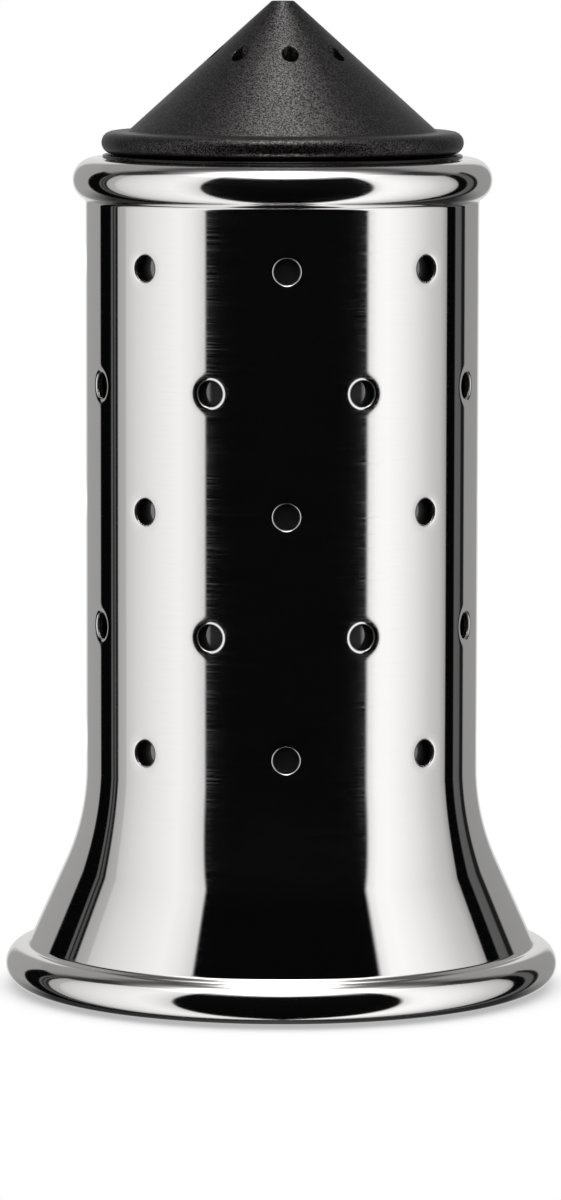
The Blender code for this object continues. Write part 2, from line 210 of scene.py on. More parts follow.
# Steel: its colour, and the heights of its creases, with how far below and above them they reach
STEEL_COLOUR = (0.905, 0.886, 0.878)
TOP_CREASE = (103.9 * MM, 0.3 * MM, 0.3 * MM)
FOOT_CREASE = (5.75 * MM, 0.2 * MM, 0.8 * MM)
CREASE_CORE = 0.05 * MM
BEAD_FADE = (0.1 * MM, 0.5 * MM)

# The punched walls of the holes and the jacket's inside: where they start to be dull, below which height,
# and how they look.
# Their roughness is the real unpolished steel; their dark colour is painted shade
HOLE_DULL_AND_SHADED = (BODY_RADIUS - 0.2 * MM, BODY_RADIUS - 0.11 * MM)
HOLE_ZONE = (102.4 * MM, 103.0 * MM)
HOLE_SHADE_COLOUR = (0.22, 0.21, 0.205)
WALL_ROUGHNESS = 0.5

# Polish lines: their scales, the heights between which they come in, and roughnesses. Four numbers are two
# ends of a noise and the values there
LINES_ROUND = 2.5
LINES_ALONG = 5200.0
LINE_NOISE = (0.45, 0.75)
LINE_ZONE = (10 * MM, 34 * MM)
SMOOTH_ROUGHNESS = 0.02
FLARE_ROUGHNESS = 0.05
TUBE_ROUGHNESS = 0.115
GRAZED_ROUGHNESS = 0.04
BEAD_ROUGHNESS = (0.35, 0.75, 0.07, 0.1)
CREASE_ROUGHNESS = (0.3, 0.7, 0.04, 0.08)
HAZE = (0.35, 0.65, 0.02, 0.42)
HAZE_ZONE = (14 * MM, 30 * MM)
GRAZING = (0.15, 0.4)

# Plastics, rubbers and the screw: colours, scales of grain, and the ends that most noises run between
NOISE = (0.3, 0.7)
CUP_COLOUR = (0.032, 0.032, 0.033)
RIPPLE_SCALE = 900.0
CAP_COLOUR = (0.010, 0.0098, 0.0095)
# The cap's pits and peaks. The pits' colour and gloss also serve as painted shade where the cap's surface
# is sheltered
PIT_AND_SHADE_COLOUR = (0.003, 0.0029, 0.0028, 1)
PEAK_COLOUR = (0.009, 0.0087, 0.0084, 1)
PIT_AND_SHADE_GLOSS = (0.05, 0.047, 0.047, 1)
PEAK_GLOSS = (1, 0.93, 0.93, 1)
PEAK_SHARE = (0.35, 0.8)
# How far the ambient occlusion reaches that paints shade on the cap
PAINTED_SHADE_REACH = 2 * MM
GRAIN_SCALE = 5000.0
BLOTCH_SCALE = 260.0
FACET_SCALE = 8500.0
BASE_COLOUR = (0.020, 0.020, 0.021)
BASE_GRAIN_SCALE = 3000.0
SEAL_RUBBER = ("seal_rubber", (0.004, 0.004, 0.004), 0.24, 2500.0)
FOOT_RUBBER = ("foot_rubber", (0.022, 0.022, 0.023), 0.7, 2200.0)
RUBBER_UNEVEN = 0.06
SCREW_COLOUR = (0.60, 0.60, 0.60)
TURNING_SCALE = 9000.0

# What the steel mirrors, in (degrees from the front, brightness): a black flag in front, on each side a
# soft box that is brightest near the front, black flags with narrow gaps, and a grey and white backdrop
BLACK = 0.002
LEFT_BOX = [
    (46.2, 0.72), (54, 0.9), (63, 0.98), (80, 0.86), (95, 0.72), (103.8, 0.6), (104.6, 0.46), (112, 0.4),
]
LEFT_GAPS = [
    (112.6, 0.004), (114.4, 0.004), (114.8, 0.08), (115.9, 0.1), (116.4, 0.02), (117.4, 0.01), (117.9, 0.1),
    (119.6, 0.1),
]
LEFT_FLAG = [(120.2, BLACK), (133.5, BLACK)]
LEFT_BACKDROP = [(134.5, 0.34), (163, 0.35), (168, 0.7), (180, 0.75)]
LEFT_SIDE = [(0, BLACK), (44.8, BLACK)] + LEFT_BOX + LEFT_GAPS + LEFT_FLAG + LEFT_BACKDROP
RIGHT_BOX = [
    (52, 0.84), (57, 1.04), (64, 1.06), (74, 0.97), (85, 0.83), (97, 0.64), (106, 0.54), (110, 0.42),
    (111.8, 0.32),
]
RIGHT_FLAG = [(112.4, BLACK), (121.4, BLACK)]
RIGHT_GAPS = [(122, 0.11), (129, 0.1), (129.8, 0.012), (134, 0.012)]
RIGHT_BACKDROP = [(135.2, 0.3), (163, 0.31), (168, 0.7), (180, 0.75)]
RIGHT_SIDE = [(0, BLACK), (49.8, BLACK)] + RIGHT_BOX + RIGHT_FLAG + RIGHT_GAPS + RIGHT_BACKDROP

# Over the soft boxes, whose upper edge falls towards the back: ceiling, gap and the backdrop's upper part,
# which all darken upwards
OVER_SIDES = [
    (0, BLACK), (46, BLACK), (48, 1.0), (70, 1.0), (85, 0.3), (100, 0.03), (118, 0.03), (130, 0.3),
    (180, 0.33),
]
BOX_TOP_TURN = (70 * DEGREE, 118 * DEGREE)
BOX_TOP_RISE = (62 * DEGREE, 27 * DEGREE)
BOX_TOP_EDGE = 2 * DEGREE
HIGH_RISE = (44 * DEGREE, 58 * DEGREE)
HIGH_LEVEL = 0.15

# The backdrop is dark low down, from these shares of a half turn on
BEHIND_TURN = (0.73, 0.75)
LOW_RISE = (-35 * DEGREE, -12 * DEGREE)
LOW_SHADE = 0.92

# The lamp over the shaker as it is mirrored: level, slope of its middle to the front, reach across, behind
# and to the front, how it falls off, and the rise under which it isn't seen
LAMP_LEVEL = 16.0
LAMP_FORWARD = 0.08
LAMP_ACROSS = 0.19
LAMP_REACH = (0.08, 0.33)
LAMP_FALLOFF = 1.5
LAMP_LOW = (46 * DEGREE, 56 * DEGREE)
LEAST_RISE = 0.02

# The same lamp as it lights matt surfaces, and the weak fill, which grows upwards
TOP_BOX_SIDE = 400 * MM
TOP_BOX_PLACE = (0, -50 * MM, 351 * MM)
FILL = (-0.5, 0.6, 0.06, 0.4)

# Floor: half its side, how near a thing has to be to shade it, and the light left by how open it is
FLOOR_HALF = 3.0
FLOOR_SHADE_REACH = 12 * MM
FLOOR_SHADE = (0.0, 0.9, 0.45, 1.0)

# A point on a turned piece's outline, with the direction that its surface faces
Point = namedtuple("Point", "radius height out up")

# An arc of an outline. Its surface faces away from the centre where side is -1, and to it where side is 1
Arc = namedtuple("Arc", "centre radius start end steps side")

# The square frame of a hole: the numbers of its points and their places (u, v) from the hole's axis
HoleFrame = namedtuple("HoleFrame", "numbers places")


def add_object(name, data):
    """Puts a new object into the scene."""
    added = bpy.data.objects.new(name, data)
    bpy.context.scene.collection.objects.link(added)
    return added


def unit(vector):
    return vector / np.linalg.norm(vector)


class Shell:
    """Collects points, the directions that they face, and the quads between them."""

    def __init__(self):
        self.points, self.normals, self.faces = [], [], []

    def point(self, place, facing):
        """Adds a point and gives its number."""
        self.points.append(tuple(place))
        self.normals.append(tuple(unit(facing)))
        return len(self.points) - 1

    def join(self, row, after):
        """Quads between two rows that run round, or triangles where one of them is a single point."""
        count = max(len(row), len(after))
        for k in range(count):
            corners = [row[k % len(row)], after[k % len(after)]]
            corners += [after[(k + 1) % len(after)], row[(k + 1) % len(row)]]
            self.faces.append(list(dict.fromkeys(corners)))

    def mesh(self, name):
        """The mesh, without the points that no face uses."""
        used = sorted({number for face in self.faces for number in face})
        fresh = {number: count for count, number in enumerate(used)}
        points = [self.points[number] for number in used]
        normals = [self.normals[number] for number in used]
        faces = [[fresh[number] for number in face] for face in self.faces]
        mesh = bpy.data.meshes.new(name)
        mesh.from_pydata(points, [], faces)
        mesh.validate()
        mesh.shade_smooth()
        mesh.normals_split_custom_set_from_vertices(normals)
        return mesh

    def make(self, name, finish, slot, body, node):
        """Makes the object, which rides on the body and stands for the CAD node."""
        mesh = self.mesh(name)
        mesh.materials.append(finish)
        piece = add_object(name, mesh)
        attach(piece, body)
        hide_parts(node)


def around(angle):
    """The directions outwards and along at an angle round the axis."""
    c, s = cos(angle), sin(angle)
    return np.array((c, s, 0)), np.array((-s, c, 0))


def arc_points(arc, depth):
    """Outline points on an arc of the sheet's outside, or at a depth in the sheet."""
    radius = arc.radius + arc.side * depth
    points = []
    for step in range(arc.steps + 1):
        angle = arc.start + (arc.end - arc.start) * step / arc.steps
        c, s = cos(angle), sin(angle)
        place = arc.centre[0] + radius * c, arc.centre[1] + radius * s
        points.append(Point(*place, -arc.side * c, -arc.side * s))
    return points


def fillet_points(start, face, turn, fillet):
    """Outline points on a fillet, from a start where the surface faces at an angle through a turn."""
    side = copysign(1, turn)
    centre = start + side * fillet * np.array((cos(face), sin(face)))
    points = []
    for step in range(FILLET_STEPS + 1):
        angle = face + turn * step / FILLET_STEPS
        c, s = cos(angle), sin(angle)
        points.append(Point(centre[0] - side * fillet * c, centre[1] - side * fillet * s, c, s))
    return points


def rounded(*corners, closed=True):
    """An outline from corners (radius, height, fillet), run clockwise with the piece on the right."""
    points = []
    count = len(corners)
    for k, (radius, height, fillet) in enumerate(corners):
        here = np.array((radius, height))
        before = np.array(corners[k - 1][:2])
        after = np.array(corners[(k + 1) % count][:2])
        arrive = unit(here - before) if closed or k else unit(after - here)
        leave = unit(after - here) if closed or k < count - 1 else arrive
        turn = atan2(arrive[0] * leave[1] - arrive[1] * leave[0], arrive @ leave)
        face = atan2(arrive[0], -arrive[1])
        if abs(turn) < NO_TURN or not fillet:
            face += turn / 2
            points.append(Point(radius, height, cos(face), sin(face)))
        else:
            start = here - arrive * fillet * tan(abs(turn) / 2)
            points += fillet_points(start, face, turn, fillet)
    return points


def wall_rows(radius, wall, out):
    """Close rows on an upright wall, from its top where it faces out, from its bottom where it faces in."""
    low, high = wall
    steps = round((high - low) / THREAD_ROW_PITCH)
    heights = [low + (high - low) * step / steps for step in range(steps + 1)]
    if out > 0:
        heights.reverse()
    return [Point(radius, height, out, 0) for height in heights]


def turned_row(shell, point, columns, start=0.0, relief=None):
    """A row of a turned piece. relief(point, angle) gives the raised radius and its slopes along and up."""
    if point.radius < ON_AXIS:
        return [shell.point(point.height * UP, copysign(1, point.up) * UP)]
    row = []
    for column in range(columns):
        angle = start + tau * column / columns
        out, along = around(angle)
        radius, slope_along, slope_up = relief(point, angle) if relief else (point.radius, 0, 0)
        normal = point.out * (out - slope_along * along) + (point.up - point.out * slope_up) * UP
        row.append(shell.point(radius * out + point.height * UP, normal))
    return row


def turned(outline, columns=PLAIN_COLUMNS, closed=True, relief=None):
    """A turned piece from its outline."""
    shell = Shell()
    rows = [turned_row(shell, point, columns, 0.0, relief) for point in outline]
    for row, after in zip(rows, rows[1:]):
        shell.join(row, after)
    if closed:
        shell.join(rows[-1], rows[0])
    return shell


def fill_rows(shell, rows, skipped):
    """Quads between rows that follow each other, but for the cells (ring, column) of hole frames."""
    for ring, (row, after) in enumerate(zip(rows, rows[1:])):
        if len(row) == 1 or len(after) == 1:
            shell.join(row, after)
            continue
        for column in range(COLUMNS):
            if (ring, column) not in skipped:
                beside = (column + 1) % COLUMNS
                shell.faces.append([row[column], after[column], after[beside], row[beside]])


def frame_cells(first_ring, column):
    """The cells (ring, column) of a hole's frame round its middle column."""
    rings = range(first_ring, first_ring + CELL)
    columns = [(column + k) % COLUMNS for k in range(-HALF_CELL, HALF_CELL)]
    return {(ring, k) for ring in rings for k in columns}


def cell_edge():
    """Steps round the square frame of a hole, from its lower right corner and against the clock."""
    for quarter_turns in range(4):
        for k in range(CELL):
            p, q = HALF_CELL, k - HALF_CELL
            for _ in range(quarter_turns):
                p, q = -q, p
            yield p, q


def quarter_turn(steps):
    """Cosine and sine at even steps through a quarter turn."""
    for step in range(steps + 1):
        turn = pi / 2 * step / steps
        yield cos(turn), sin(turn)


def hole_rows(radius, roll, wall, burr, draw=(0, 0)):
    """Rows down a hole as (radius, depth, share facing out, share facing the hole's axis).

    draw is the depth and slope of the sheet where the roll starts.
    """
    width, depth = roll
    sunk, slope = draw
    rows = []
    for c, s in quarter_turn(ROLL_STEPS):
        lean = max(s / width, slope * c / depth)
        rows.append((radius + width * (1 - s), sunk + depth * (1 - c), c / depth, lean))
    for c, s in quarter_turn(BURR_STEPS):
        rows.append((radius + burr * (1 - c), wall - burr * (1 - s), -s, c))
    return rows


def circle(radius):
    """Places round a hole's axis."""
    return [(radius * cos(angle), radius * sin(angle)) for angle in FRAME_ANGLES]


def toward(places, radius, share):
    """Places on the way from a hole's frame to a circle round its axis."""
    ends = circle(radius)
    return [(u + (a - u) * share, v + (b - v) * share) for (u, v), (a, b) in zip(places, ends)]


def hole_ring(shell, places, row, place, drawn=None):
    """One row of points round a hole. row is (depth, share facing out, share facing the hole's axis)."""
    depth, face, axis = row
    numbers = []
    for (u, v), angle in zip(places, FRAME_ANGLES):
        sunk, slope = drawn(hypot(u, v)) if drawn else (0, 0)
        point, facing, u_way, v_way = place(u, v, depth + sunk)
        away = cos(angle) * u_way + sin(angle) * v_way
        numbers.append(shell.point(point, face * facing - (axis + slope) * away))
    return numbers


def pierce(shell, outer, inner, rows, place, drawn=None):
    """Fills a hole's frames on both faces of a sheet and joins the two through the hole.

    place(u, v, depth) gives a point, the way the face looks there, and the directions of u and v.
    drawn(away) gives the depth and slope of a sheet that is drawn in round the hole.
    """
    edge = rows[0][0]
    inner_edge, wall = rows[-1][:2]
    chain = [outer.numbers]
    for share in OUTER_SHARES:
        chain.append(hole_ring(shell, toward(outer.places, edge, share), (0, 1, 0), place, drawn))
    for radius, *row in rows:
        chain.append(hole_ring(shell, circle(radius), row, place))
    for share in INNER_SHARES:
        chain.append(hole_ring(shell, toward(inner.places, inner_edge, share), (wall, -1, 0), place))
    chain.append(inner.numbers)
    for row, after in zip(chain, chain[1:]):
        shell.join(after, row)


def top_crease():
    """Middle of the crease under the top bead, and the angle from the bead's middle to it."""
    across = BODY_RADIUS + CREASE_RADIUS - TOP_BEAD_CENTRE[0]
    drop = sqrt((TOP_BEAD_RADIUS + CREASE_RADIUS) ** 2 - across**2)
    return (BODY_RADIUS + CREASE_RADIUS, TOP_BEAD_CENTRE[1] - drop), atan2(-drop, across)


def flare_end():
    """A point on the flare's straight line, beside the top of the foot bead."""
    return FOOT_BEAD_CENTRE[0] - FLARE_INSET, FOOT_BEAD_CENTRE[1] + FOOT_BEAD_RADIUS


def flare_bend():
    """Middle of the bend between the tube and the flare."""
    radius, height = flare_end()
    corner = height + (radius - BODY_RADIUS) / tan(FLARE_ANGLE)
    return BODY_RADIUS + BEND_RADIUS, corner + BEND_RADIUS * tan(FLARE_ANGLE / 2)


def foot_crease():
    """Middle of the crease over the foot bead, and the angle from the bead's middle to it."""
    foot = np.array(FOOT_BEAD_CENTRE)
    out = np.array((cos(FLARE_ANGLE), sin(FLARE_ANGLE)))
    down = np.array((sin(FLARE_ANGLE), -cos(FLARE_ANGLE)))
    gap = np.array(flare_end()) + FOOT_CREASE_RADIUS * out - foot
    along = down @ gap
    step = along + sqrt(along**2 - gap @ gap + (FOOT_BEAD_RADIUS + FOOT_CREASE_RADIUS) ** 2)
    middle = foot + gap - step * down
    return middle, atan2(middle[1] - foot[1], middle[0] - foot[0])


def jacket_arcs():
    """The arcs of the jacket's outer line, from the top curl's end to the foot curl's end."""
    top, top_angle = top_crease()
    foot, foot_angle = foot_crease()
    flare = pi + FLARE_ANGLE
    return [
        Arc(TOP_BEAD_CENTRE, TOP_BEAD_RADIUS, TOP_CURL_END, top_angle, BEAD_STEPS, -1),
        Arc(top, CREASE_RADIUS, pi + top_angle, pi, CREASE_STEPS, 1),
        Arc(flare_bend(), BEND_RADIUS, pi, flare, BEND_STEPS, 1),
        Arc(foot, FOOT_CREASE_RADIUS, flare, pi + foot_angle, FOOT_CREASE_STEPS, 1),
        Arc(FOOT_BEAD_CENTRE, FOOT_BEAD_RADIUS, foot_angle, FOOT_CURL_END, BEAD_STEPS, -1),
    ]


def wall_heights():
    """Heights of the rows on the jacket's wall, top first, and each hole row with its middle's number."""
    cell = BODY_RADIUS * tau / COLUMNS
    heights, middles = [], []
    for row in reversed(range(HOLE_ROWS)):
        middle = LOWEST_ROW + row * ROW_PITCH
        middles.append((row, len(heights) + HALF_CELL))
        heights += [middle + cell * step for step in range(HALF_CELL, -HALF_CELL - 1, -1)]
    return heights, middles


def jacket_line(heights, depth):
    """The jacket's line at a depth in the sheet, top first, and where the wall's rows start on it."""
    line = []
    for arc in jacket_arcs():
        points = arc_points(arc, depth)
        if arc.radius == BEND_RADIUS:
            wall_start = len(line)
            line += [Point(BODY_RADIUS - depth, height, 1, 0) for height in heights]
        meets = line and dist(line[-1][:2], points[0][:2]) < SAME_PLACE
        line += points[1:] if meets else points
    return line, wall_start


def jacket_outline(heights):
    """The jacket's outline, down outside and up inside, with two marks.

    A mark is (first, way): the wall's row k is the outline's row first + way * k, outside and inside.
    """
    outside, wall_start = jacket_line(heights, 0)
    inside, _ = jacket_line(heights, SHEET)
    inside = [Point(p.radius, p.height, -p.out, -p.up) for p in reversed(inside)]
    outline = outside + inside
    return outline, [(wall_start, 1), (len(outline) - 1 - wall_start, -1)]


def jacket_holes(middles):
    """The punched holes as (row, its middle's number, column). Every second row is turned half a step."""
    step = COLUMNS // HOLES_PER_ROW
    counts = range(HOLES_PER_ROW)
    return [(row, middle, step * k + step // 2 * (row % 2)) for row, middle in middles for k in counts]


def punch(shell, rows, heights, marks, hole, profile):
    """Makes one punched hole in the jacket's wall."""
    row, middle, column = hole
    out, along = around(HOLE_START + tau * column / COLUMNS)
    height = LOWEST_ROW + row * ROW_PITCH

    def place(u, v, depth):
        radius = BODY_RADIUS - depth
        facing = (sqrt(radius**2 - u**2) * out + u * along) / radius
        return radius * facing + (height + v) * UP, facing, along, UP

    frames = []
    for (first, way), radius in zip(marks, (BODY_RADIUS, BODY_RADIUS - SHEET)):
        numbers, places = [], []
        for p, q in cell_edge():
            numbers.append(rows[first + way * (middle - q)][(column + p) % COLUMNS])
            places.append((radius * sin(tau * p / COLUMNS), heights[middle - q] - height))
        frames.append(HoleFrame(numbers, places))
    pierce(shell, *frames, profile, place, drawn_in)


def drawn_in(away):
    """Depth and slope of the sheet round a punched hole, at a distance from the hole's axis."""
    width, depth = HOLE_DRAW
    share = 1 - min(max((away - HOLE_EDGE) / width, 0), 1)
    return depth * share**2, 2 * depth * share / width


def make_steel_body(finish):
    shell = Shell()
    heights, middles = wall_heights()
    outline, marks = jacket_outline(heights)
    rows = [turned_row(shell, point, COLUMNS, HOLE_START) for point in outline]
    holes = jacket_holes(middles)
    skipped = set()
    for _, middle, column in holes:
        for first, way in marks:
            skipped |= frame_cells(first + way * middle - HALF_CELL, column)
    fill_rows(shell, rows + rows[:1], skipped)
    profile = hole_rows(HOLE_RADIUS, HOLE_ROLL, SHEET, HOLE_BURR, drawn_in(HOLE_EDGE))
    for hole in holes:
        punch(shell, rows, heights, marks, hole, profile)
    shell.make("jacket", finish, "polished_steel", "shaker", "steel_body")


def smooth(share):
    """Eases a share of 0 to 1 in and out."""
    return share * share * (3 - 2 * share)


def ridge(point, angle, start, side):
    """A thread ridge on an upright wall: the raised radius and the wall's slopes along and up."""
    crest, root = RIDGE_CREST / 2, RIDGE_ROOT / 2

    def raised(a, height):
        turn = a % tau
        run = min(min(turn, tau - turn) / THREAD_RUN_OUT, 1)
        away = abs(height - start - THREAD_PITCH * turn / tau)
        lift = min(max((root - away) / (root - crest), 0), 1)
        return side * THREAD_DEPTH * smooth(lift) * smooth(run)

    height = point.height
    radius = point.radius + raised(angle, height)
    swing = SLOPE_STEP / radius
    slope_along = (raised(angle + swing, height) - raised(angle - swing, height)) / (2 * SLOPE_STEP)
    slope_up = (raised(angle, height + SLOPE_STEP) - raised(angle, height - SLOPE_STEP)) / (2 * SLOPE_STEP)
    return radius, slope_along, slope_up


def threads(point, angle):
    """The thread ridges, where a wall is the neck's bore or the spigot's outside."""
    if point.out == -1 and point.radius == NECK_BORE:
        return ridge(point, angle, NECK_THREAD_START, -1)
    if point.out == 1 and point.radius == SPIGOT_RADIUS:
        return ridge(point, angle, SPIGOT_THREAD_START, 1)
    return point.radius, 0, 0


def make_salt_container(finish):
    floor = CUP_BOTTOM + CUP_FLOOR
    inside = rounded(
        (0, floor, 0),
        (CUP_INSIDE, floor, CUP_FLOOR_FILLET),
        (CUP_INSIDE, NECK_BOTTOM - (CUP_INSIDE - NECK_BORE), CUP_EDGE),
        (NECK_BORE, NECK_BOTTOM, 0),
        closed=False,
    )
    outside = rounded(
        (NECK_BORE, NECK_BOTTOM, 0),
        (NECK_BORE, NECK_TOP, CUP_EDGE),
        (NECK_RADIUS, NECK_TOP, CUP_EDGE),
        (NECK_RADIUS, SHOULDER_HEIGHT, SHOULDER_FILLET),
        (CUP_RADIUS, SHOULDER_HEIGHT, CUP_EDGE),
        (CUP_RADIUS, floor, CUP_EDGE),
        (CUP_INSIDE, CUP_BOTTOM, CUP_EDGE),
        (BOSS_RADIUS, CUP_BOTTOM, CUP_EDGE),
        (BOSS_RADIUS, BOSS_BOTTOM, CUP_EDGE),
        (SCREW_HOLE, BOSS_BOTTOM, SMALL_EDGE),
        (SCREW_HOLE, SCREW_HOLE_TOP, SMALL_EDGE),
        (0, SCREW_HOLE_TOP, 0),
        closed=False,
    )
    outline = inside[:-1] + wall_rows(NECK_BORE, NECK_WALL, -1) + outside[1:]
    shell = turned(outline, closed=False, relief=threads)
    shell.make("container", finish, "gloss_black_plastic", "shaker", "salt_container")


def cone_height(radius):
    """Height of the cone's outside at a radius."""
    return OVERALL_HEIGHT - (radius - TIP_RADIUS) / CONE_SLOPE


def frame_radii():
    """Radii of the cone's rows in the sprinkle holes' frames, which are square where the holes are."""
    cell = SPRINKLE_CIRCLE * tau / COLUMNS
    return [SPRINKLE_CIRCLE + cell * step for step in range(-HALF_CELL, HALF_CELL + 1)]


def cap_outside(radii):
    """The cap's outline from its tip to the spigot's foot, and where the holes' frames start on it."""
    face = unit(np.array((1, CONE_SLOPE)))
    upper_cone = 3 * TIP_RADIUS
    tip = rounded(
        (0, OVERALL_HEIGHT, 0),
        (TIP_RADIUS, OVERALL_HEIGHT, TIP_EDGE),
        (upper_cone, cone_height(upper_cone), 0),
        closed=False,
    )
    cone = [Point(radius, cone_height(radius), *face) for radius in radii]
    rim = rounded(
        (LOWER_CONE, cone_height(LOWER_CONE), 0),
        (CONE_RADIUS, RIM_TOP, CONE_FOOT_FILLET),
        (CAP_RADIUS, RIM_TOP, RIM_ROUND),
        (CAP_RADIUS, RIM_BOTTOM, RIM_ROUND),
        (SPIGOT_RADIUS, RIM_BOTTOM, SPIGOT_FILLET),
        (SPIGOT_RADIUS, SPIGOT_BOTTOM, 0),
        closed=False,
    )
    return tip[:-1] + cone + rim[:-1] + wall_rows(SPIGOT_RADIUS, SPIGOT_WALL, 1), len(tip) - 1


def cap_inside(radii):
    """The cap's outline from the spigot's foot to the middle, and where the holes' frames start on it."""
    face = unit(np.array((1, CONE_SLOPE)))
    bore = rounded(
        (SPIGOT_RADIUS, SPIGOT_BOTTOM + CAP_EDGE, 0),
        (SPIGOT_RADIUS, SPIGOT_BOTTOM, CAP_EDGE),
        (SPIGOT_BORE, SPIGOT_BOTTOM, CAP_EDGE),
        (SPIGOT_BORE, cone_height(SPIGOT_BORE) - CONE_DROP, CAP_EDGE),
        (radii[-1], cone_height(radii[-1]) - CONE_DROP, 0),
        closed=False,
    )
    cone = [Point(radius, cone_height(radius) - CONE_DROP, *-face) for radius in reversed(radii)]
    tip = rounded(
        (radii[0], cone_height(radii[0]) - CONE_DROP, 0),
        (TIP_RADIUS, OVERALL_HEIGHT - CONE_DROP, CAP_EDGE),
        (0, OVERALL_HEIGHT - CONE_DROP, 0),
        closed=False,
    )
    bore = bore[2:-1]
    return bore + cone + tip[1:], len(bore)


def sprinkle(shell, rows, radii, marks, column, profile):
    """Makes one sprinkle hole in the cone. marks are the rows where its two frames start."""
    out, along = around(SPRINKLE_START + tau * column / COLUMNS)

    def place(u, v, depth):
        flat = (SPRINKLE_CIRCLE + u) * out + v * along
        radius = np.linalg.norm(flat)
        return flat + (cone_height(radius) - depth) * UP, flat / radius / CONE_SLOPE + UP, out, along

    frames = []
    for mark, way in zip(marks, (1, -1)):
        numbers, places = [], []
        for p, q in cell_edge():
            angle = tau * q / COLUMNS
            radius = radii[HALF_CELL + p]
            numbers.append(rows[mark + HALF_CELL + way * p][(column + q) % COLUMNS])
            places.append((radius * cos(angle) - SPRINKLE_CIRCLE, radius * sin(angle)))
        frames.append(HoleFrame(numbers, places))
    pierce(shell, *frames, profile, place)


def make_sprinkler_cap(finish):
    shell = Shell()
    radii = frame_radii()
    outside, outer_mark = cap_outside(radii)
    inside, inner_mark = cap_inside(radii)
    marks = (outer_mark, len(outside) + inner_mark)
    outline = outside + inside
    rows = [turned_row(shell, point, COLUMNS, SPRINKLE_START, threads) for point in outline]
    columns = range(0, COLUMNS, COLUMNS // SPRINKLE_COUNT)
    skipped = set()
    for column in columns:
        for mark in marks:
            skipped |= frame_cells(mark, column)
    fill_rows(shell, rows, skipped)
    profile = hole_rows(SPRINKLE_RADIUS, SPRINKLE_ROLL, CONE_DROP, SPRINKLE_BURR)
    for column in columns:
        sprinkle(shell, rows, radii, marks, column, profile)
    shell.make("cap", finish, "matt_black_plastic", "cap", "sprinkler_cap")


def washer(inside, outside, bottom, top, bottom_edge, top_edge):
    """A flat ring with rounded edges."""
    outline = rounded(
        (inside, top, top_edge),
        (outside, top, top_edge),
        (outside, bottom, bottom_edge),
        (inside, bottom, bottom_edge),
    )
    return turned(outline)


def make_cap_seal(finish):
    top = SEAL_BOTTOM + SEAL_THICKNESS
    shell = washer(SEAL_INSIDE, SEAL_RADIUS, SEAL_BOTTOM, top, SEAL_EDGE, SEAL_EDGE)
    shell.make("seal", finish, "seal_rubber", "seal", "cap_seal")


def make_base_cover(finish):
    recess_radius, recess_top = SCREW_RECESS
    groove_outside = RING_OUTSIDE + SEAT_GAP
    groove_inside = RING_INSIDE - SEAT_GAP
    outline = rounded(
        (SCREW_HOLE, HUB_TOP, HUB_HOLE_EDGE),
        (HUB_RADIUS, HUB_TOP, COVER_EDGE),
        (HUB_RADIUS, COVER_TOP, COVER_EDGE),
        (COVER_RADIUS, COVER_TOP, COVER_EDGE),
        (COVER_RADIUS, COVER_BOTTOM, COVER_EDGE),
        (groove_outside, COVER_BOTTOM, SMALL_EDGE),
        (groove_outside, GROOVE_TOP, SMALL_EDGE),
        (groove_inside, GROOVE_TOP, SMALL_EDGE),
        (groove_inside, COVER_BOTTOM, SMALL_EDGE),
        (recess_radius, COVER_BOTTOM, COVER_EDGE),
        (recess_radius, recess_top, SMALL_EDGE),
        (SCREW_HOLE, recess_top, SMALL_EDGE),
    )
    turned(outline).make("cover", finish, "base_black_plastic", "shaker", "base_cover")


def make_foot_ring(finish):
    shell = washer(RING_INSIDE, RING_OUTSIDE, 0, RING_TOP, RING_FOOT_EDGE, RING_TOP_EDGE)
    shell.make("ring", finish, "foot_rubber", "shaker", "foot_ring")


def socket_flats(point, angle):
    """Six flats where the screw's outline is at its socket's wall."""
    socket_radius, _ = SCREW_SOCKET
    away = (angle % SOCKET_SIDE) - SOCKET_SIDE / 2
    share = 1 if point.height < SCREW_HEAD[2] and point.radius <= socket_radius else 0
    share *= 1 if point.radius > SOCKET_WALL * socket_radius else point.radius / socket_radius
    flat = cos(SOCKET_SIDE / 2) / cos(away)
    return point.radius * (1 - share + share * flat), share * tan(away), 0


def make_base_screw(finish):
    head_radius, head_bottom, seat = SCREW_HEAD
    socket_radius, socket_top = SCREW_SOCKET
    point_radius = 0.5 * SHANK_RADIUS
    outline = rounded(
        (0, SCREW_TIP, 0),
        (point_radius, SCREW_TIP, SMALL_EDGE),
        (SHANK_RADIUS, SCREW_TIP - point_radius, SMALL_EDGE),
        (SHANK_RADIUS, seat, SMALL_EDGE),
        (head_radius, seat, SMALL_EDGE),
        (head_radius, head_bottom, SCREW_HEAD_EDGE),
        (socket_radius, head_bottom, SOCKET_EDGE),
        (socket_radius, socket_top, SOCKET_EDGE),
        (0, socket_top, 0),
        closed=False,
    )
    shell = turned(outline, columns=SCREW_COLUMNS, closed=False, relief=socket_flats)
    shell.make("screw", finish, "screw_steel", "shaker", "base_screw")


